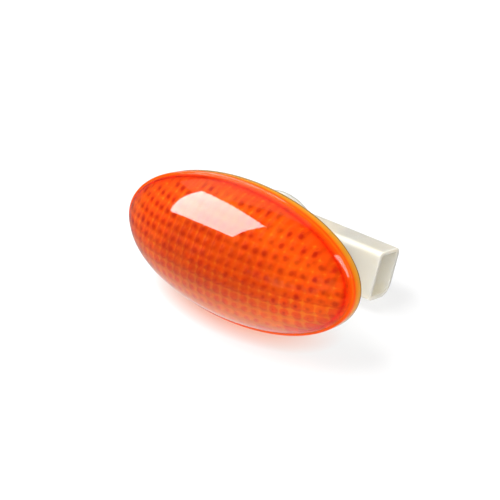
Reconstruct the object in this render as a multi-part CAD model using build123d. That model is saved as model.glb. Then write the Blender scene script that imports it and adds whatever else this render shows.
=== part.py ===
from build123d import *
import math
import os

# Side repeater lamp, in millimetres.
# X runs along the lamp, Y points into the car's wing and Z points up.
# The origin is the middle of the rim's rear edge, which lies on the skin of the wing.

# Lens: an oval rim with an oval dome, which is the front of an ellipsoid
LENS_LENGTH = 76.0
LENS_HEIGHT = 39.4
RIM_DEPTH = 4.1
RIM_WALL = 1.4
RIM_EDGE_RADIUS = 0.4
DOME_INSET = 0.6
DOME_RISE = 15.5
DOME_FULLNESS = 0.88
LENS_WALL = 2.4

# Prisms: pits in a square grid on the inner face of the dome
PRISM_PITCH = 2.7
PRISM_FILL = 0.92
PRISM_DEPTH = 0.7
PRISM_TAPER = 45.0
PRISM_RUN_OUT = 0.12
PRISM_FIELD = 0.9

# Housing: flange in the rim, bowl, round neck, locating rib and two catches
LENS_FIT = 0.15
FLANGE_THICKNESS = 2.0
FLANGE_RECESS = 0.4
HOUSING_WALL = 1.5
BOWL_LENGTH = 54.0
BOWL_HEIGHT = 30.6
NECK_RADIUS = 14.7
NECK_START = 8.5
NECK_LENGTH = 4.1
LIP_THICKNESS = 1.4
RIB_LENGTH = 64.0
RIB_HEIGHT = 33.2
RIB_THICKNESS = 1.2
RIB_DEPTH = 2.4
PANEL_GAP = 1.4
HOOK_WIDTH = 8.0
HOOK_REACH = 2.0
HOOK_THICKNESS = 1.6
HOOK_STEM = 2.4
LOOP_WIDTH = 7.0
LOOP_LEG = 1.0
LOOP_GAP = 1.8
LOOP_DEPTH = 5.5
LOOP_CATCH = 1.4
LOOP_RAMP = 2.6
LOOP_PLAY = 1.0

# Bayonet between the housing's neck and the bulb holder
TWIST = 45.0
LUG_COUNT = 3
LUG_FIRST = 90.0
LUG_ANGLE = 24.0
LUG_HEIGHT = 1.0
LUG_THICKNESS = 1.5
LUG_PLAY = 0.3
NOTCH_PLAY = 3.0
STOP_ANGLE = 7.0
SPIGOT_CLEARANCE = 0.4
SPIGOT_LEAD = 1.4

# Bulb holder: head, spigot, socket core and right-angled connector shroud
SEAL_THICKNESS = 1.2
SEAL_WIDTH = 2.4
SEAL_ROUND = 0.35
SEAL_PLAY = 0.1
HEAD_RADIUS = 15.3
HEAD_THICKNESS = 1.8
HEAD_EDGE_RADIUS = 0.6
HOLDER_WALL = 1.6
CORE_RADIUS = 6.8
CORE_RISE = 2.9
STEM_LENGTH = 6.0
SHROUD_DEPTH = 11.7
SHROUD_HEIGHT = 14.8
SHROUD_END = 30.4
SHROUD_BACK = 8.6
SHROUD_WALL = 1.25
SHROUD_FRONT_RADIUS = 1.6
SHROUD_UPPER_RADIUS = 2.4
SHROUD_LOWER_RADIUS = 4.0
SOCKET_DEPTH = 16.3

# Terminals: two stamped strips, each a contact for the bulb and a connector blade
STRIP_THICKNESS = 0.8
STRIP_WIDTH = 2.8
STRIP_CENTRE = 2.9
STRIP_BEND = 0.6
STRIP_FLARE = 0.7
STRIP_FLARE_LENGTH = 1.6
BLADE_LENGTH = 10.0
BLADE_BEVEL = 0.5
SPRING_ROOM = 0.8

# Capless bulb with a pinched wedge base
BULB_RADIUS = 5.1
BULB_LENGTH = 18.0
BULB_GLASS = 0.6
BULB_FOOT_RADIUS = 4.7
BULB_TAPER = 4.0
PINCH_HEIGHT = 3.0
WEDGE_WIDTH = 9.5
WEDGE_THICKNESS = 2.1
WEDGE_LENGTH = 8.0
WEDGE_PLAY = 0.2
LEAD_RADIUS = 0.25
LEAD_SPREAD = 2.6
LEAD_FOLD = 5.5
LEAD_PLAY = 0.03
FILAMENT_AHEAD = 12.0
FILAMENT_RADIUS = 0.3
FILAMENT_ARCH = 0.9

# Places that follow from the sizes above
HALF_LENGTH = LENS_LENGTH / 2
HALF_HEIGHT = LENS_HEIGHT / 2
APEX = -(RIM_DEPTH + DOME_RISE)
CAP_X = (HALF_LENGTH - DOME_INSET) / math.sqrt(DOME_FULLNESS)
CAP_Z = (HALF_HEIGHT - DOME_INSET) / math.sqrt(DOME_FULLNESS)
CAP_Y = DOME_RISE / (1 - math.sqrt(1 - DOME_FULLNESS))
CAP_CENTRE = APEX + CAP_Y
FLANGE_FRONT = -(FLANGE_RECESS + FLANGE_THICKNESS)
NECK_END = NECK_START + NECK_LENGTH
NECK_BORE = NECK_RADIUS - HOUSING_WALL
LIP_FRONT = NECK_END - LIP_THICKNESS
LUG_REAR = LIP_FRONT - LUG_PLAY
LUG_FRONT = LUG_REAR - LUG_THICKNESS
LUG_RADIUS = NECK_BORE - SPIGOT_CLEARANCE
SPIGOT_RADIUS = LUG_RADIUS - LUG_HEIGHT
LIP_RADIUS = SPIGOT_RADIUS + SPIGOT_CLEARANCE
SPIGOT_FRONT = LUG_FRONT - SPIGOT_LEAD
HEAD_FRONT = NECK_END + SEAL_PLAY + SEAL_THICKNESS
HEAD_REAR = HEAD_FRONT + HEAD_THICKNESS
SHROUD_FRONT = HEAD_REAR + STEM_LENGTH
SHROUD_REAR = SHROUD_FRONT + SHROUD_DEPTH
SOCKET_FLOOR = SHROUD_END - SOCKET_DEPTH
BLADE_Y = (SHROUD_FRONT + SHROUD_REAR) / 2
BLADE_END = SOCKET_FLOOR + BLADE_LENGTH
BULB_SEAT = HEAD_FRONT - CORE_RISE
BULB_TIP = BULB_SEAT - BULB_LENGTH
WEDGE_END = BULB_SEAT + WEDGE_LENGTH
LEAD_SIDE = WEDGE_THICKNESS / 2 + LEAD_RADIUS + LEAD_PLAY
STRIP_INNER = LEAD_SIDE + LEAD_RADIUS + LEAD_PLAY
FILAMENT_Y = BULB_SEAT - FILAMENT_AHEAD
LUG_ANGLES = [LUG_FIRST + 360.0 * i / LUG_COUNT for i in range(LUG_COUNT)]

# Tools run this far past the faces that they cut or join
PAST = 1.0


def at(y):
    """Plane across the lamp at depth y, seen from the front: local x is X and local y is Z."""
    return Plane.XZ.offset(-y)


def oval(half_length, half_height, y_front, y_rear):
    """Oval block between two depths."""
    return extrude(at(y_rear) * Ellipse(half_length, half_height), amount=y_rear - y_front)


def drum(radius, y_front, y_rear):
    """Round block on the lamp's axis between two depths."""
    return extrude(at(y_rear) * Circle(radius), amount=y_rear - y_front)


def block(x_range, y_range, z_range):
    """Square block between two corners."""
    centre = [sum(span) / 2 for span in (x_range, y_range, z_range)]
    return Pos(*centre) * Box(*[high - low for low, high in (x_range, y_range, z_range)])


def sector(r_inner, r_outer, middle, width, y_front, y_rear):
    """Piece of a ring on the lamp's axis, width degrees wide."""
    start = middle - width / 2
    outer = CenterArc((0, 0), r_outer, start, width)
    inner = CenterArc((0, 0), r_inner, start, width)
    sides = [Line(inner @ 0, outer @ 0), Line(inner @ 1, outer @ 1)]
    return extrude(at(y_rear) * make_face([outer, inner, *sides]), amount=y_rear - y_front)


def cap(inset, rear):
    """Front of the dome's ellipsoid as far as depth rear, its half axes shortened by inset."""
    body = Pos(0, CAP_CENTRE, 0) * scale(Sphere(1), by=(CAP_X - inset, CAP_Y - inset, CAP_Z - inset))
    return body & block((-CAP_X, CAP_X), (APEX - PAST, rear), (-CAP_X, CAP_X))


def cap_plane(x, z):
    """Plane on the dome's inner face at x and z, its normal pointing forwards into the wall."""
    half_x, half_y, half_z = (half - LENS_WALL for half in (CAP_X, CAP_Y, CAP_Z))
    y = -half_y * math.sqrt(1 - (x / half_x) ** 2 - (z / half_z) ** 2)
    normal = Vector(x / half_x**2, y / half_y**2, z / half_z**2)
    return Plane((x, CAP_CENTRE + y, z), x_dir=(-normal.Y, normal.X, 0), z_dir=normal)


def prisms():
    """Square grid of tapered diamonds, each square to the dome's inner face."""
    half = PRISM_PITCH / 2 * PRISM_FILL
    diamond = make_face(Polyline((half, 0), (0, half), (-half, 0), (0, -half), close=True))
    pit = extrude(diamond, amount=PRISM_DEPTH + PRISM_RUN_OUT, taper=PRISM_TAPER)
    pit = Pos(0, 0, -PRISM_RUN_OUT) * pit
    reach_x = PRISM_FIELD * (HALF_LENGTH - DOME_INSET)
    reach_z = PRISM_FIELD * (HALF_HEIGHT - DOME_INSET)
    columns = round(reach_x / PRISM_PITCH)
    rows = round(reach_z / PRISM_PITCH)
    field = []
    for row in range(-rows, rows):
        z = (row + 0.5) * PRISM_PITCH
        for column in range(-columns, columns):
            x = (column + 0.5) * PRISM_PITCH
            if (x / reach_x) ** 2 + (z / reach_z) ** 2 <= 1:
                field.append(cap_plane(x, z) * pit)
    return field


def lens():
    """Amber lens: rim, dome, rebate for the housing's flange and prisms inside."""
    rim = oval(HALF_LENGTH, HALF_HEIGHT, -RIM_DEPTH, 0)
    rim = fillet(rim.edges().group_by(Axis.Y)[0], RIM_EDGE_RADIUS)
    body = rim + cap(0, -RIM_DEPTH)
    body -= cap(LENS_WALL, FLANGE_FRONT / 2)
    body -= oval(HALF_LENGTH - RIM_WALL, HALF_HEIGHT - RIM_WALL, FLANGE_FRONT, PAST)
    return body - prisms()


def bowl(inset, front):
    """Funnel from an oval mouth to the round neck."""
    mouth = at(front) * Ellipse(BOWL_LENGTH / 2 - inset, BOWL_HEIGHT / 2 - inset)
    throat = at(NECK_START) * Circle(NECK_RADIUS - inset)
    return loft([mouth, throat])


def hook():
    """Fixed hook at the -X end that reaches behind the skin of the wing."""
    tip = -(RIB_LENGTH / 2 + HOOK_REACH)
    stem = -(RIB_LENGTH / 2 - RIB_THICKNESS - HOOK_STEM)
    wide = (-HOOK_WIDTH / 2, HOOK_WIDTH / 2)
    back = PANEL_GAP + HOOK_THICKNESS
    body = block((tip, stem), (PANEL_GAP, back), wide)
    lead_in = body.edges().filter_by(Axis.Z).group_by(Axis.X)[0].sort_by(Axis.Y)[-1]
    body = chamfer(lead_in, HOOK_THICKNESS / 2)
    return body + block((-RIB_LENGTH / 2, stem), (-FLANGE_RECESS, back), wide)


def spring_loop():
    """Sprung loop at the +X end: a leg, a round turn and a free leg that ends in a catch."""
    outside = RIB_LENGTH / 2
    inside = outside - LOOP_LEG
    leg_outer = inside - LOOP_GAP
    leg_inner = leg_outer - LOOP_LEG
    turn = (leg_inner + outside) / 2
    legs = make_face(Polyline(
        (leg_inner, -FLANGE_RECESS), (leg_outer, -FLANGE_RECESS),
        (leg_outer, LOOP_DEPTH), (leg_inner, LOOP_DEPTH), close=True,
    ))
    catch = make_face(Polyline(
        (inside, PANEL_GAP), (outside + LOOP_CATCH, PANEL_GAP),
        (outside, PANEL_GAP + LOOP_RAMP), (outside, LOOP_DEPTH), (inside, LOOP_DEPTH), close=True,
    ))
    ring = Pos(turn, LOOP_DEPTH) * (Circle(outside - turn) - Circle(inside - turn))
    ring &= Pos(turn, LOOP_DEPTH + LENS_LENGTH / 2) * Rectangle(LENS_LENGTH, LENS_LENGTH)
    return extrude(Plane.XY.offset(-LOOP_WIDTH / 2) * (legs + catch + ring), amount=LOOP_WIDTH)


def locating_rib():
    """Low oval wall that finds the hole in the wing, left open where the sprung loop stands."""
    half_length = RIB_LENGTH / 2
    half_height = RIB_HEIGHT / 2
    rear = RIB_DEPTH - FLANGE_RECESS
    rib = oval(half_length, half_height, -FLANGE_RECESS, rear)
    rib -= oval(half_length - RIB_THICKNESS, half_height - RIB_THICKNESS, -FLANGE_RECESS - PAST, rear + PAST)
    half_gap = LOOP_WIDTH / 2 + LOOP_PLAY
    return rib - block((0, half_length + PAST), (-FLANGE_RECESS - PAST, rear + PAST), (-half_gap, half_gap))


def housing():
    """Natural plastic housing: flange, bowl, neck with its bayonet lip, rib and catches."""
    flange = oval(
        HALF_LENGTH - RIM_WALL - LENS_FIT, HALF_HEIGHT - RIM_WALL - LENS_FIT, FLANGE_FRONT, -FLANGE_RECESS
    )
    body = flange + bowl(0, FLANGE_FRONT) + drum(NECK_RADIUS, NECK_START, NECK_END)
    body += locating_rib()
    body += hook()
    body += spring_loop()
    body -= bowl(HOUSING_WALL, FLANGE_FRONT)
    body -= drum(NECK_BORE, NECK_START, LIP_FRONT)
    body -= drum(LIP_RADIUS, LIP_FRONT, NECK_END)
    notch = LUG_ANGLE + 2 * NOTCH_PLAY
    notch_radius = LUG_RADIUS + SPIGOT_CLEARANCE / 2
    for angle in LUG_ANGLES:
        body -= sector(LIP_RADIUS - PAST, notch_radius, angle - TWIST, notch, LIP_FRONT, NECK_END)
        stop = angle + LUG_ANGLE / 2 + NOTCH_PLAY + STOP_ANGLE / 2
        body += sector(LIP_RADIUS, NECK_BORE + HOUSING_WALL / 2, stop, STOP_ANGLE, LUG_FRONT, LIP_FRONT)
    return body


def shroud(inset, x_start, x_end):
    """Bar with the connector shroud's section, its rear edges rounder than its front ones."""
    half_depth = SHROUD_DEPTH / 2 - inset
    half_height = SHROUD_HEIGHT / 2 - inset
    section = Pos(BLADE_Y, 0) * Rectangle(2 * half_depth, 2 * half_height)
    radii = (SHROUD_FRONT_RADIUS, SHROUD_FRONT_RADIUS, SHROUD_LOWER_RADIUS, SHROUD_UPPER_RADIUS)
    corners = [(-1, -1), (-1, 1), (1, -1), (1, 1)]
    for (side, end), radius in zip(corners, radii):
        corner = Vector(BLADE_Y + side * half_depth, end * half_height)
        vertex = section.vertices().sort_by_distance(corner)[0]
        section = fillet(vertex, max(radius - inset, SHROUD_FRONT_RADIUS / 2))
    return extrude(Plane.YZ.offset(x_start) * section, amount=x_end - x_start)


def terminal(side):
    """Stamped strip beside the wedge base, bent to a blade in the connector: side is 1 above, -1 below."""
    inner = side * STRIP_INNER
    outer = side * (STRIP_INNER + STRIP_THICKNESS)
    low, high = sorted((inner, outer))
    flare = side * STRIP_FLARE
    tip = BULB_SEAT + WEDGE_PLAY
    straight = tip + STRIP_FLARE_LENGTH
    blade_rear = BLADE_Y + STRIP_THICKNESS / 2
    blade_front = BLADE_Y - STRIP_THICKNESS / 2
    outline = make_face(Polyline(
        (low + flare, tip), (high + flare, tip), (high, straight), (high, blade_front),
        (BLADE_END, blade_front), (BLADE_END, blade_rear), (low, blade_rear), (low, straight), close=True,
    ))
    bend = outline.vertices().sort_by_distance(Vector(high, blade_front))[0]
    outline = fillet(bend, STRIP_BEND)
    bend = outline.vertices().sort_by_distance(Vector(low, blade_rear))[0]
    outline = fillet(bend, STRIP_BEND + STRIP_THICKNESS)
    start = side * STRIP_CENTRE - STRIP_WIDTH / 2
    strip = extrude(Plane.XY.offset(start) * outline, amount=STRIP_WIDTH)
    corners = strip.edges().filter_by(Axis.Y).group_by(Axis.X)[-1]
    return chamfer(corners, BLADE_BEVEL)


def spring_room(side):
    """Room behind a terminal's contact, where it gives way as the bulb is pushed in."""
    x_span = sorted((side * STRIP_INNER, side * (STRIP_INNER + STRIP_THICKNESS + SPRING_ROOM)))
    half = STRIP_WIDTH / 2 + WEDGE_PLAY
    z_span = (side * STRIP_CENTRE - half, side * STRIP_CENTRE + half)
    return block(x_span, (BULB_SEAT - PAST, WEDGE_END), z_span)


def bulb_holder():
    """Natural plastic holder: spigot with lugs, head, core with the bulb's socket, connector shroud."""
    body = drum(HEAD_RADIUS, HEAD_FRONT, HEAD_REAR)
    body = fillet(body.edges().group_by(Axis.Y)[-1], HEAD_EDGE_RADIUS)
    body += drum(SPIGOT_RADIUS, SPIGOT_FRONT, HEAD_FRONT)
    for angle in LUG_ANGLES:
        body += sector(SPIGOT_RADIUS - HOLDER_WALL / 2, LUG_RADIUS, angle, LUG_ANGLE, LUG_FRONT, LUG_REAR)
    body -= drum(SPIGOT_RADIUS - HOLDER_WALL, SPIGOT_FRONT, HEAD_FRONT)
    body += drum(CORE_RADIUS, BULB_SEAT, SHROUD_FRONT + PAST)
    bar = shroud(0, -SHROUD_BACK, SHROUD_END)
    bar = fillet(bar.faces().sort_by(Axis.X)[0].edges(), SHROUD_FRONT_RADIUS / 2)
    body += bar
    body -= shroud(SHROUD_WALL, SOCKET_FLOOR, SHROUD_END)
    half_slot = STRIP_INNER
    half_width = WEDGE_WIDTH / 2 + WEDGE_PLAY
    floor = WEDGE_END + LEAD_SIDE / 2 + LEAD_RADIUS + WEDGE_PLAY
    body -= block((-half_slot, half_slot), (BULB_SEAT, floor), (-half_width, half_width))
    for side in (1, -1):
        body -= spring_room(side)
        body -= terminal(side)
    return body


def holder_seal():
    """Rubber ring between the holder's head and the end of the neck."""
    middle = SPIGOT_RADIUS + SEAL_PLAY + SEAL_WIDTH / 2
    section = RectangleRounded(SEAL_WIDTH, SEAL_THICKNESS, SEAL_ROUND)
    section = Pos(middle, HEAD_FRONT - SEAL_THICKNESS / 2) * section
    return revolve(section, Axis.Y)


def bulb_lead(side):
    """Lead wire from the filament through the pinch, folded up beside the wedge base."""
    z = side * LEAD_SPREAD
    reach = side * LEAD_SIDE
    start = (0, FILAMENT_Y, z)
    path = Line(start, (0, WEDGE_END, z))
    path += ThreePointArc((0, WEDGE_END, z), (reach / 2, WEDGE_END + LEAD_SIDE / 2, z), (reach, WEDGE_END, z))
    path += Line((reach, WEDGE_END, z), (reach, WEDGE_END - LEAD_FOLD, z))
    section = Plane(start, z_dir=(0, 1, 0)) * Circle(LEAD_RADIUS)
    return sweep(section, path=path)


def bulb_form(inset, foot, neck_radius):
    """Round bulb on the lamp's axis, from its domed tip to its foot."""
    radius = BULB_RADIUS - inset
    shoulder = BULB_TIP + BULB_RADIUS
    taper = foot - BULB_TAPER
    tip = BULB_TIP + inset
    diagonal = radius * math.sin(math.pi / 4)
    arc = ThreePointArc((0, tip), (diagonal, shoulder - diagonal), (radius, shoulder))
    lines = Polyline((radius, shoulder), (radius, taper), (neck_radius, foot), (0, foot), (0, tip))
    return revolve(make_face([arc, *lines.edges()]), Axis.Y)


def bulb_glass():
    """Clear bulb: hollow envelope, solid pinch and flat wedge base, bored for the lead wires."""
    envelope = bulb_form(0, BULB_SEAT, BULB_FOOT_RADIUS)
    half_width = WEDGE_WIDTH / 2
    half_thick = WEDGE_THICKNESS / 2
    pinch = BULB_SEAT - PINCH_HEIGHT / 2
    wedge = block((-half_thick, half_thick), (pinch, WEDGE_END), (-half_width, half_width))
    cavity = bulb_form(BULB_GLASS, BULB_SEAT - PINCH_HEIGHT, BULB_FOOT_RADIUS - BULB_TAPER / 2)
    return envelope + wedge - cavity - bulb_lead(1) - bulb_lead(-1)


def bulb_filament():
    """Filament in a low arch between the two lead wires, its ends fitted to them."""
    half = LEAD_SPREAD - LEAD_RADIUS
    y = FILAMENT_Y + LEAD_RADIUS + FILAMENT_RADIUS
    arch = ThreePointArc((0, y, -half), (0, y - FILAMENT_ARCH, 0), (0, y, half))
    section = Plane(arch @ 0, z_dir=arch % 0) * Circle(FILAMENT_RADIUS)
    return sweep(section, path=arch) - bulb_lead(1) - bulb_lead(-1)


def main():
    """Build each piece and write it to its own file."""
    pieces = {
        "lens": lens(),
        "housing": housing(),
        "bulb_holder": bulb_holder(),
        "holder_seal": holder_seal(),
        "terminal_upper": terminal(1),
        "terminal_lower": terminal(-1),
        "bulb_glass": bulb_glass(),
        "bulb_filament": bulb_filament(),
        "bulb_lead_upper": bulb_lead(1),
        "bulb_lead_lower": bulb_lead(-1),
    }
    os.makedirs("parts", exist_ok=True)
    for name, piece in pieces.items():
        export_step(piece, f"parts/{name}.step")


if __name__ == "__main__":
    main()
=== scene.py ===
import math

import bpy
import numpy as np
from mathutils import Matrix, Vector


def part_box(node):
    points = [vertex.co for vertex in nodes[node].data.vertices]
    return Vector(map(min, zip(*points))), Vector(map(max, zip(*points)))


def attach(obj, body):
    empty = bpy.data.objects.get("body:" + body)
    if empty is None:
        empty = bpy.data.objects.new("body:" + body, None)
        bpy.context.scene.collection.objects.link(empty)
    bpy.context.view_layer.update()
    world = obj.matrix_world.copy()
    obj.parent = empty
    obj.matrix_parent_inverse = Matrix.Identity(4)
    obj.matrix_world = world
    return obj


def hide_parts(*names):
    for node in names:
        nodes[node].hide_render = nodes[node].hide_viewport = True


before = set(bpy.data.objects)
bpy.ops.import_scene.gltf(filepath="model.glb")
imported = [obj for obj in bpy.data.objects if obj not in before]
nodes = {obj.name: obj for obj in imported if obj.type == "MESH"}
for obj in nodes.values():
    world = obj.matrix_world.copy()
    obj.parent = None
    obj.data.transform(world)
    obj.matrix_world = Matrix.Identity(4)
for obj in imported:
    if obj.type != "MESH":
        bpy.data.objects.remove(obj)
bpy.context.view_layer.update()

scene = bpy.context.scene

# Sizes are in millimetres. X runs along the lamp, Y into the wing, Z up, and the lens faces -Y.
MM = 0.001

# The lens: its rim with the rebate behind it, its dome and the dome's wall
RIM_X, RIM_Z = 38.0, 19.7
RIM_DEPTH = 4.1
RIM_ROUND = 0.4
RIM_WALL = 1.4
REBATE_FLOOR = -2.4
DOME_X, DOME_Z = 37.4, 19.1
DOME_RISE = 15.5
DOME_WALL = 2.4

# The ellipsoid whose front is the dome. Its fullness is 1 where the dome is a whole half of it.
FULLNESS = 0.88
CAP = np.array([
    DOME_X / math.sqrt(FULLNESS),
    DOME_RISE / (1 - math.sqrt(1 - FULLNESS)),
    DOME_Z / math.sqrt(FULLNESS),
])
CAP_CENTRE = -(RIM_DEPTH + DOME_RISE) + CAP[1]

# The prism pits, in an oval field: they fade out between two shares of its oval.
PITCH = 2.7
PIT_DEPTH = 0.75
FIELD_X, FIELD_Z = 34.4, 16.2
FADE_START, FADE_END = 1.01, 1.05

# Steps of the lens skin at an edge: a tight one keeps it crisp, an easy one leads up to it.
TIGHT, EASY = 0.06, 0.2
ROUND_STEPS = 7
INNER_CROWDING = 0.85

# Shares of the dome's outline where the rim's colour starts and where it is full. From there on
# the skin scatters light.
FOOT_COLOUR, FOOT_SCATTER = 0.955, 0.967

# The prisms' dots fade towards the lower edge, as painted light from the table below: how far below
# the middle, and over what height
LOW_START, LOW_RANGE = 1.0, 11.0

# The filament: radius of its wire, and how far its arch keeps from the ends of the solid's box
WIRE_RADIUS = 0.07
ARCH_END_GAP = 0.02
ARCH_INSET = 0.3

# The table: the lamp rests on its rim's lower edge and on the connector box, so the table slopes
# in the lamp's own axes. The lens's glow on it is painted light: an oval whose middle lies behind
# the rim.
FLOOR_NORMAL = Vector((0.0, -0.3642, 0.9313)).normalized()
FLOOR_DROP = -18.4
FLOOR_HALF = 1600.0
GLOW_X, GLOW_Y, GLOW_MIDDLE = 32.0, 16.0, 8.0

# The studio: the point that the lights face, and the camera's distance from the rim's front
LIGHT_TARGET = Vector((0.0, -10.0, 0.0))
CAMERA_DISTANCE = 373.8


# ---------------------------------------------------------------- shapes

def add_object(name, data):
    """New object in the scene."""
    piece = bpy.data.objects.new(name, data)
    scene.collection.objects.link(piece)
    return piece


def surface(name, points):
    """Mesh over a grid of points, rows by columns. The columns close on themselves, and the first
    and last row each shrink to one point."""
    rows, columns = points.shape[:2]
    index = np.arange(rows * columns).reshape(rows, columns)
    index[0] = index[0, 0]
    index[-1] = index[-1, 0]
    a, b = index[:-1], np.roll(index[:-1], -1, axis=1)
    c, d = np.roll(index[1:], -1, axis=1), index[1:]
    halves = [np.stack(corners, -1).reshape(-1, 3) for corners in ([a, b, c], [a, c, d])]
    triangles = np.concatenate(halves)
    x, y, z = triangles.T
    triangles = triangles[(x != y) & (y != z) & (z != x)]
    used, faces = np.unique(triangles, return_inverse=True)
    mesh = bpy.data.meshes.new(name)
    mesh.from_pydata(points.reshape(-1, 3)[used] * MM, [], faces.reshape(-1, 3))
    mesh.polygons.foreach_set("use_smooth", np.ones(len(mesh.polygons), bool))
    mesh.update()
    return add_object(name, mesh), used


def cells(x, z):
    """Place in the cell of the prism grid, from -0.5 to 0.5 in both directions, and how far out in
    the field's oval the middle of the cell lies: 1 at the border."""
    column, row = np.floor(x / PITCH), np.floor(z / PITCH)
    out = np.hypot((column + 0.5) * PITCH / FIELD_X, (row + 0.5) * PITCH / FIELD_Z)
    return x / PITCH - column - 0.5, z / PITCH - row - 0.5, out


def pit_share(x, z):
    """How deep the prism pits are at x and z, from 0 to 1: one round hollow to each cell of a
    square grid. The depth is the mean of a cosine wave along x and one along z, so soft ridges
    stand between the hollows, and it fades out past the border of the oval field."""
    across, up, _ = cells(x, z)
    fade = (FADE_END - np.hypot(x / FIELD_X, z / FIELD_Z)) / (FADE_END - FADE_START)
    waves = (2 + np.cos(2 * np.pi * across) + np.cos(2 * np.pi * up)) / 4
    return waves * np.clip(fade, 0, 1)


def inset_oval(inset, depth):
    """The rim's oval, drawn in by an inset, at a depth."""
    return RIM_X - inset, RIM_Z - inset, depth


def lens_shell(columns=420, outer=56, inner=150):
    """The lens as one closed skin: a pile of ovals, each with its half length, half height and
    depth. The list of ovals runs from the dome's top down the outside, round the rim, through the
    rebate and up the inside to the top again. On the inside each point is moved into the wall,
    along the ellipsoid's normal, by the depth of the pits."""
    turn = np.linspace(0, -2 * np.pi, columns, endpoint=False)
    share_out = np.sin(np.linspace(0, np.pi / 2, outer))
    ovals = [
        (DOME_X * s, DOME_Z * s, CAP_CENTRE - CAP[1] * math.sqrt(1 - FULLNESS * s * s))
        for s in share_out
    ]
    ovals.append((DOME_X + TIGHT, DOME_Z + TIGHT, -RIM_DEPTH))
    for angle in np.linspace(0, np.pi / 2, ROUND_STEPS):
        depth = RIM_ROUND * (1 - math.cos(angle)) - RIM_DEPTH
        ovals.append(inset_oval(RIM_ROUND * (1 - math.sin(angle)), depth))
    ovals += [inset_oval(0, -RIM_DEPTH / 2), inset_oval(0, -EASY), inset_oval(TIGHT, -TIGHT)]
    first_behind = len(ovals)
    ovals += [
        inset_oval(EASY, 0.0),
        inset_oval(RIM_WALL - TIGHT, 0.0),
        inset_oval(RIM_WALL, -TIGHT),
        inset_oval(RIM_WALL, REBATE_FLOOR + TIGHT),
        inset_oval(RIM_WALL + TIGHT, REBATE_FLOOR),
    ]
    half = CAP - DOME_WALL
    foot = math.sqrt(1 - ((REBATE_FLOOR - CAP_CENTRE) / half[1]) ** 2)
    ovals.append((half[0] * foot + TIGHT, half[2] * foot + TIGHT, REBATE_FLOOR))
    first_inner = len(ovals)
    ovals += [
        (half[0] * s, half[2] * s, CAP_CENTRE - half[1] * math.sqrt(1 - s * s))
        for s in foot * np.linspace(1, 0, inner) ** INNER_CROWDING
    ]
    half_x, half_z, depth = np.array(ovals).T[..., None]
    points = np.stack([
        half_x * np.cos(turn), np.repeat(depth, columns, axis=1), half_z * np.sin(turn),
    ], -1)
    inside = points[first_inner:]
    pits = pit_share(inside[..., 0], inside[..., 2])
    normal = (inside - [0, CAP_CENTRE, 0]) / half**2
    normal /= np.linalg.norm(normal, axis=-1, keepdims=True)
    inside += normal * (PIT_DEPTH * pits)[..., None]
    piece, used = surface("lens_shell", points)

    x, y, z = np.moveaxis(points, -1, 0)
    dome_share = share_out[:, None]
    within = np.ones_like(x)
    within[:outer] = np.clip((dome_share - FOOT_SCATTER) / (1 - FOOT_SCATTER), 0, 1) / 2
    within[outer:first_behind] = 0.5
    border = np.ones_like(x)
    border[first_inner:] = cells(inside[..., 0], inside[..., 2])[2] > 1
    edge = np.ones_like(x)
    edge[:outer] = np.clip((dome_share - FOOT_COLOUR) / (FOOT_SCATTER - FOOT_COLOUR), 0, 1)
    edge[first_inner:] = 0.0
    values = {
        "within": within,  # 0 on the polished dome, 0.5 on the rim, 1 on the moulded faces behind
        "border": border,  # 1 outside the prism field
        "edge": edge,  # 1 from the dome's foot round to the rebate
        "rim": np.clip(1 + y / RIM_DEPTH, 0, 1),  # 0 at the rim's front, 1 at its back
        "low": np.clip((-z - LOW_START) / LOW_RANGE, 0, 1),  # 1 towards the lower edge, where the dots get painted light from the table
        "deep": np.clip(1 - np.hypot(x / FIELD_X, z / FIELD_Z), 0, 1),  # 1 in the middle, where the colour gets painted shade
    }
    for name, value in values.items():
        data = piece.data.attributes.new(name, "FLOAT", "POINT")
        data.data.foreach_set("value", value.reshape(-1)[used].astype(np.float32))
    return piece


def along_path(path):
    """Unit vector along a path at each of its points."""
    run = np.gradient(path, axis=0)
    return run / np.linalg.norm(run, axis=1, keepdims=True)


def filament_coil(turns=26, steps=16, around=8):
    """Wire wound round an arch: the arch is a parabola between the lead wires, the coil a helix
    about it, and the wire a round section about the helix, closed by a point at each end."""
    low, high = (np.array(corner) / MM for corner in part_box("bulb_filament"))
    coil_radius = (high[0] - low[0]) / 2 - WIRE_RADIUS
    half_span = high[2] - ARCH_END_GAP
    foot, top = high[1] - ARCH_INSET, low[1] + ARCH_INSET
    share = np.linspace(-1, 1, turns * steps + 1)
    arch = np.stack([
        np.zeros_like(share), top + (foot - top) * share**2, half_span * share,
    ], -1)
    side = np.array([1.0, 0.0, 0.0])
    across = np.cross(along_path(arch), side)
    angle = (np.pi * turns * (share + 1))[:, None]
    out = np.cos(angle) * side + np.sin(angle) * across
    helix = arch + coil_radius * out
    other = np.cross(along_path(helix), out)
    turn = np.linspace(0, 2 * np.pi, around, endpoint=False)[None, :, None]
    ring = np.cos(turn) * out[:, None] + np.sin(turn) * other[:, None]
    first, last = (np.repeat(end[:, None], around, axis=1) for end in (helix[:1], helix[-1:]))
    points = np.concatenate([first, helix[:, None] + WIRE_RADIUS * ring, last])
    return surface("filament_coil", points)[0]


# ---------------------------------------------------------------- material nodes

def shader(name):
    """New material: itself, its tree, its Principled shader and the object's own coordinates."""
    material = bpy.data.materials.new(name)
    material.use_nodes = True
    tree = material.node_tree
    tree.nodes.clear()
    output = tree.nodes.new("ShaderNodeOutputMaterial")
    main = tree.nodes.new("ShaderNodeBsdfPrincipled")
    place = tree.nodes.new("ShaderNodeTexCoord")
    tree.links.new(main.outputs["BSDF"], output.inputs["Surface"])
    return material, tree, main, place.outputs["Object"]


def noise(tree, place, scale, detail=3.0):
    """Noise over coordinates."""
    node = tree.nodes.new("ShaderNodeTexNoise")
    node.inputs["Scale"].default_value = scale
    node.inputs["Detail"].default_value = detail
    tree.links.new(place, node.inputs["Vector"])
    return node.outputs["Fac"]


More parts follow.
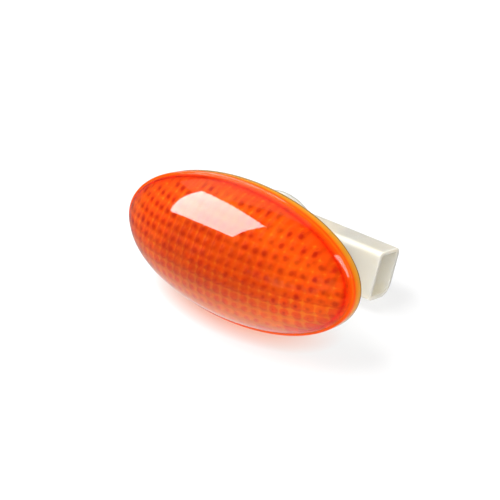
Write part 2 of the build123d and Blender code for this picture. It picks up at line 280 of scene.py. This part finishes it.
def ramp(tree, value, stops):
    """Colour that follows a value through stops of (position, colour)."""
    node = tree.nodes.new("ShaderNodeValToRGB")
    elements = node.color_ramp.elements
    while len(elements) < len(stops):
        elements.new(0.5)
    for element, (position, colour) in zip(elements, stops):
        element.position = position
        element.color = (*colour, 1.0)
    tree.links.new(value, node.inputs["Fac"])
    return node.outputs["Color"]


def grey(value):
    """Colour with the same red, green and blue."""
    return (value, value, value)


def grey_ramp(tree, value, *stops):
    """Number that follows a value through stops of (position, number)."""
    return ramp(tree, value, [(position, grey(number)) for position, number in stops])


def bump(tree, main, value, strength, distance):
    """Fine relief on the shader's normal."""
    node = tree.nodes.new("ShaderNodeBump")
    node.inputs["Strength"].default_value = strength
    node.inputs["Distance"].default_value = distance
    tree.links.new(value, node.inputs["Height"])
    tree.links.new(node.outputs["Normal"], main.inputs["Normal"])


def attribute(tree, name):
    """Value kept at each point of the mesh."""
    node = tree.nodes.new("ShaderNodeAttribute")
    node.attribute_name = name
    return node.outputs["Fac"]


def blend(tree, share, low, high):
    """Colour between low and high; each is a colour or another node's output."""
    node = tree.nodes.new("ShaderNodeMix")
    node.data_type = "RGBA"
    tree.links.new(share, node.inputs["Factor"])
    for colour, socket in ((low, node.inputs[6]), (high, node.inputs[7])):
        if isinstance(colour, tuple):
            socket.default_value = (*colour, 1.0)
        else:
            tree.links.new(colour, socket)
    return node.outputs[2]


def mix_shaders(tree, share, low, high):
    """Shader between low and high."""
    node = tree.nodes.new("ShaderNodeMixShader")
    for value, socket in zip((share, low, high), node.inputs):
        tree.links.new(value, socket)
    return node.outputs["Shader"]


def multiply_add(tree, value, factor, other):
    """Value times factor plus another value."""
    node = tree.nodes.new("ShaderNodeMath")
    node.operation = "MULTIPLY_ADD"
    tree.links.new(value, node.inputs[0])
    node.inputs[1].default_value = factor
    tree.links.new(other, node.inputs[2])
    return node.outputs["Value"]


def vector_step(tree, operation, value, other=None):
    """One step of vector arithmetic, with a fixed second vector where it takes one."""
    node = tree.nodes.new("ShaderNodeVectorMath")
    node.operation = operation
    tree.links.new(value, node.inputs[0])
    if other:
        node.inputs[1].default_value = other
    return node.outputs["Value" if operation == "LENGTH" else "Vector"]


def scaled(tree, place, scale, shift=(0.0, 0.0, 0.0)):
    """Coordinates times a scale, plus a shift."""
    node = tree.nodes.new("ShaderNodeMapping")
    node.inputs["Scale"].default_value = scale
    node.inputs["Location"].default_value = shift
    tree.links.new(place, node.inputs["Vector"])
    return node.outputs["Vector"]


def cell_distance(tree, place):
    """Distance from the middle of each cell of the prism grid, in pitches, with some unevenness:
    about 0.25 in the middle, 0.95 at the corners."""
    per_metre = 1 / (PITCH * MM)
    value = vector_step(tree, "MULTIPLY", place, (per_metre, 0.0, per_metre))
    value = vector_step(tree, "FRACTION", value)
    value = vector_step(tree, "SUBTRACT", value, (0.5, 0.0, 0.5))
    return multiply_add(tree, noise(tree, place, 520.0), 0.50, vector_step(tree, "LENGTH", value))


# ---------------------------------------------------------------- materials

def amber():
    """Amber acrylic: the polished skin lets the light through, and the moulded inner face scatters
    most of it. On that face the middle of each prism is dark red, the ridges between are bright
    and the plain border is orange red. The middle of the field is darkened with painted shade,
    and the dots fade towards the lower edge with painted light from the table. The rim turns
    from red to a painted yellow glow, with a brown back edge of painted shade."""
    material, tree, main, place = shader("amber_acrylic")
    within = attribute(tree, "within")
    dot, slope = (0.55, 0.021, 0.0), (0.86, 0.102, 0.002)
    ground, ridge = (0.89, 0.138, 0.003), (0.95, 0.28, 0.01)
    # Painted light: towards the lower edge the dots fade to the lighter colours, as lit from the
    # table below
    cell = multiply_add(tree, attribute(tree, "low"), 0.42, cell_distance(tree, place))
    colour = ramp(tree, cell, [(0.36, dot), (0.62, slope), (0.84, ground), (0.99, ridge)])
    cloud, cloud_orange = noise(tree, place, 130.0, 2.0), (1.0, 0.24, 0.004)
    colour = blend(tree, grey_ramp(tree, cloud, (0.45, 0.0), (0.75, 0.5)), colour, cloud_orange)
    # Painted shade: the middle of the prism field is darkened towards deep red, the shade of the
    # deep housing behind it
    deep, painted_shade_red = attribute(tree, "deep"), (0.45, 0.038, 0.0)
    colour = blend(tree, grey_ramp(tree, deep, (0.15, 0.0), (0.6, 0.55)), colour, painted_shade_red)
    border_red, skin_tint = (0.92, 0.12, 0.002), (1.0, 0.72, 0.36)
    colour = blend(tree, attribute(tree, "border"), colour, border_red)
    colour = blend(tree, within, skin_tint, colour)
    red, orange = (1.0, 0.11, 0.002), (1.0, 0.36, 0.008)
    # Painted light and shade: the yellow of the rim's band is a painted glow, and its brown back
    # edge is a painted shade line
    yellow, brown = (1.0, 0.58, 0.06), (0.45, 0.20, 0.01)
    stops = [(0.14, red), (0.36, orange), (0.80, yellow), (0.96, brown)]
    band = ramp(tree, attribute(tree, "rim"), stops)
    colour = blend(tree, attribute(tree, "edge"), colour, band)
    tree.links.new(colour, main.inputs["Base Color"])
    wear = grey_ramp(tree, noise(tree, place, 260.0), (0.3, 0.02), (0.75, 0.06))
    moulded = grey_ramp(tree, within, (0.6, 0.0), (1.0, 1.0))
    tree.links.new(multiply_add(tree, moulded, 0.35, wear), main.inputs["Roughness"])
    through = grey_ramp(tree, within, (0.0, 1.0), (1.0, 0.10))
    tree.links.new(through, main.inputs["Transmission Weight"])
    gloss = grey_ramp(tree, within, (0.0, 0.5), (1.0, 0.0))
    tree.links.new(gloss, main.inputs["Specular IOR Level"])
    main.inputs["IOR"].default_value = 1.49
    bump(tree, main, noise(tree, place, 35.0, 1.0), 0.05, 0.0005)
    return material


def natural_plastic():
    """Milky polypropylene as moulded: faint clouds, soft sheen and some light through it."""
    material, tree, main, place = shader("natural_polypropylene")
    dark, pale = (0.53, 0.475, 0.38), (0.58, 0.53, 0.44)
    colour = ramp(tree, noise(tree, place, 60.0, 4.0), [(0.3, dark), (0.7, pale)])
    tree.links.new(colour, main.inputs["Base Color"])
    sheen = grey_ramp(tree, noise(tree, place, 900.0), (0.3, 0.36), (0.7, 0.5))
    tree.links.new(sheen, main.inputs["Roughness"])
    main.inputs["IOR"].default_value = 1.49
    main.inputs["Subsurface Weight"].default_value = 1.0
    main.inputs["Subsurface Radius"].default_value = (1.0, 0.9, 0.7)
    main.inputs["Subsurface Scale"].default_value = 0.010
    bump(tree, main, noise(tree, place, 1500.0), 0.08, 0.0002)
    return material


def seal_rubber():
    """Soft black rubber, dull with a pale bloom."""
    material, tree, main, place = shader("seal_rubber")
    colour = grey_ramp(tree, noise(tree, place, 300.0), (0.35, 0.012), (0.8, 0.035))
    tree.links.new(colour, main.inputs["Base Color"])
    dull = grey_ramp(tree, noise(tree, place, 800.0), (0.3, 0.55), (0.7, 0.75))
    tree.links.new(dull, main.inputs["Roughness"])
    return material


def metal(name, dark, pale, rough, scale):
    """Drawn or stamped metal with streaks along the lamp."""
    material, tree, main, place = shader(name)
    streak = noise(tree, scaled(tree, place, (0.15, 1.0, 1.0)), scale)
    colour = ramp(tree, streak, [(0.3, dark), (0.7, pale)])
    tree.links.new(colour, main.inputs["Base Color"])
    brushed = grey_ramp(tree, streak, (0.3, rough), (0.7, rough + 0.15))
    tree.links.new(brushed, main.inputs["Roughness"])
    main.inputs["Metallic"].default_value = 1.0
    return material


def clear_glass():
    """Thin clear bulb glass with a faint smear."""
    material, tree, main, place = shader("clear_glass")
    dim, clear = (0.93, 0.94, 0.93), (0.97, 0.97, 0.96)
    tint = ramp(tree, noise(tree, place, 120.0), [(0.3, dim), (0.7, clear)])
    tree.links.new(tint, main.inputs["Base Color"])
    smear = grey_ramp(tree, noise(tree, place, 200.0), (0.4, 0.0), (0.8, 0.04))
    tree.links.new(smear, main.inputs["Roughness"])
    main.inputs["Transmission Weight"].default_value = 1.0
    main.inputs["IOR"].default_value = 1.5
    return material


def pale_floor():
    """White matt table, seen from above only. The lens's warm glow on it is painted light in the
    table's emission colour; it fades with the distance from the middle of an oval, and behind the
    lens. What the lamp gets from the table fades with the distance from the lamp."""
    material, tree, main, place = shader("pale_floor")
    colour = grey_ramp(tree, noise(tree, place, 4.0), (0.3, 0.19), (0.7, 0.22))
    tree.links.new(colour, main.inputs["Base Color"])
    main.inputs["Roughness"].default_value = 0.5
    half_x, half_y = GLOW_X * MM, GLOW_Y * MM
    shift = (0.0, -GLOW_MIDDLE / GLOW_Y, 0.0)
    oval = vector_step(tree, "LENGTH", scaled(tree, place, (1 / half_x, 1 / half_y, 0.0), shift))
    # Painted light: the lens's warm glow, painted into the table's emission colour
    warm, faint, white = (1.0, 0.50, 0.40), (1.0, 0.80, 0.75), grey(1.0)
    glow = ramp(tree, oval, [(0.65, warm), (0.87, faint), (1.0, white)])
    split = tree.nodes.new("ShaderNodeSeparateXYZ")
    tree.links.new(place, split.inputs["Vector"])
    behind = grey_ramp(tree, split.outputs["Y"], (0.002, 0.0), (0.014, 1.0))
    tree.links.new(blend(tree, behind, glow, white), main.inputs["Emission Color"])
    far = vector_step(tree, "LENGTH", place)
    shown = grey_ramp(tree, far, (0.08, 0.70), (0.45, 1.0))
    tree.links.new(shown, main.inputs["Emission Strength"])
    given = tree.nodes.new("ShaderNodeEmission")
    fading = grey_ramp(tree, far, (0.03, 0.9), (0.05, 0.42), (0.08, 0.16), (0.6, 0.04))
    tree.links.new(fading, given.inputs["Color"])
    path = tree.nodes.new("ShaderNodeLightPath").outputs["Is Camera Ray"]
    above = mix_shaders(tree, path, given.outputs["Emission"], main.outputs["BSDF"])
    below = tree.nodes.new("ShaderNodeBsdfTransparent").outputs["BSDF"]
    side = tree.nodes.new("ShaderNodeNewGeometry").outputs["Backfacing"]
    output = next(node for node in tree.nodes if node.type == "OUTPUT_MATERIAL")
    tree.links.new(mix_shaders(tree, side, above, below), output.inputs["Surface"])
    return material


def paint(piece, material):
    """One material on a piece."""
    piece.data.materials.clear()
    piece.data.materials.append(material)


# ---------------------------------------------------------------- pieces

amber_material = amber()
plastic_material = natural_plastic()
brass_material = metal("tinned_brass", (0.62, 0.52, 0.32), (0.74, 0.66, 0.46), 0.25, 900.0)
lead_material = metal("plated_wire", (0.50, 0.48, 0.46), (0.64, 0.62, 0.60), 0.3, 1500.0)
tungsten_material = metal("tungsten", (0.22, 0.22, 0.23), (0.36, 0.36, 0.37), 0.4, 2500.0)

lens_piece = lens_shell()
paint(lens_piece, amber_material)
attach(lens_piece, "lamp")
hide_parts("lens")

coil_piece = filament_coil()
paint(coil_piece, tungsten_material)
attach(coil_piece, "holder")
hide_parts("bulb_filament")

looks = {
    "lens": amber_material,
    "housing": plastic_material,
    "bulb_holder": plastic_material,
    "holder_seal": seal_rubber(),
    "terminal_upper": brass_material,
    "terminal_lower": brass_material,
    "bulb_glass": clear_glass(),
    "bulb_filament": tungsten_material,
    "bulb_lead_upper": lead_material,
    "bulb_lead_lower": lead_material,
}
for name, material in looks.items():
    paint(nodes[name], material)


# ---------------------------------------------------------------- studio

def table_top():
    """Square of the table's plane around the lamp."""
    across = Vector((1, 0, 0)) * (FLOOR_HALF * MM)
    deep = FLOOR_NORMAL.cross(across)
    centre = FLOOR_NORMAL * (FLOOR_DROP * MM)
    signs = ((-1, -1), (1, -1), (1, 1), (-1, 1))
    mesh = bpy.data.meshes.new("table_top")
    mesh.from_pydata([centre + across * x + deep * y for x, y in signs], [], [(0, 1, 2, 3)])
    piece = add_object("table_top", mesh)
    paint(piece, pale_floor())


def aim(piece, right, up, back, centre):
    """Turn a light or camera so that its own axes point right, up and back, and put it in place."""
    piece.matrix_world = Matrix((
        (right.x, up.x, back.x, centre.x * MM),
        (right.y, up.y, back.y, centre.y * MM),
        (right.z, up.z, back.z, centre.z * MM),
        (0, 0, 0, 1),
    ))


def softbox(name, centre, along, width, height, radiance, mirrored=True):
    """Rectangular studio light that faces the lamp; along is the direction of its width. One that
    isn't mirrored gives its light but doesn't show in glossy faces."""
    light = bpy.data.lights.new(name, "AREA")
    light.shape = "RECTANGLE"
    light.size = width * MM
    light.size_y = height * MM
    light.energy = radiance * math.pi * width * height * MM * MM
    centre, along = Vector(centre), Vector(along)
    out = (centre - LIGHT_TARGET).normalized()
    side = (along - out * along.dot(out)).normalized()
    piece = add_object(name, light)
    aim(piece, side, out.cross(side), out, centre)
    piece.visible_camera = False
    piece.visible_glossy = mirrored


def surroundings(seen, given):
    """White room: seen is its brightness to the camera, given the light that it sheds."""
    world = bpy.data.worlds.new("white_room")
    scene.world = world
    world.use_nodes = True
    tree = world.node_tree
    tree.nodes.clear()
    glows = []
    for strength in (given, seen):
        glow = tree.nodes.new("ShaderNodeBackground")
        glow.inputs["Color"].default_value = (1, 1, 1, 1)
        glow.inputs["Strength"].default_value = strength
        glows.append(glow.outputs["Background"])
    path = tree.nodes.new("ShaderNodeLightPath").outputs["Is Camera Ray"]
    output = tree.nodes.new("ShaderNodeOutputWorld")
    tree.links.new(mix_shaders(tree, path, *glows), output.inputs["Surface"])


def main_camera():
    """Camera at the photo's angle, from the lamp's front right and above."""
    data = bpy.data.cameras.new("main_camera")
    data.sensor_width = 36.0
    data.lens = 98.4
    data.shift_x = 0.0290
    data.shift_y = 0.0048
    right = Vector((0.80274, 0.55520, 0.21763))
    up = Vector((-0.34952, 0.14234, 0.92605))
    back = Vector((0.48317, -0.81945, 0.30831))
    camera = add_object("main_camera", data)
    aim(camera, right, up, back, Vector((0.0, -RIM_DEPTH, 0.0)) + back * CAMERA_DISTANCE)
    scene.camera = camera


table_top()
softbox("upper_left_softbox", (-354, -245, 439), (0.278, 0.735, 0.618), 419, 487, 13.0)
softbox("back_panel", (-234, 156, 442), (1.0, 0.3, 0.0), 520, 300, 0.33)
softbox("right_strip", (370, 60, 385), (0.5, -0.1, -0.4), 280, 110, 7.0)
softbox("front_fill", (200, -560, -100), (0.94, 0.34, 0.0), 560, 160, 12.0, mirrored=False)
softbox("left_fill", (-400, -420, -80), (0.72, -0.69, 0.0), 300, 200, 4.5, mirrored=False)
softbox("right_fill", (480, -380, 130), (0.62, 0.78, 0.0), 300, 300, 12.0, mirrored=False)
surroundings(seen=1.0, given=0.06)
main_camera()
scene.view_settings.view_transform = "Standard"
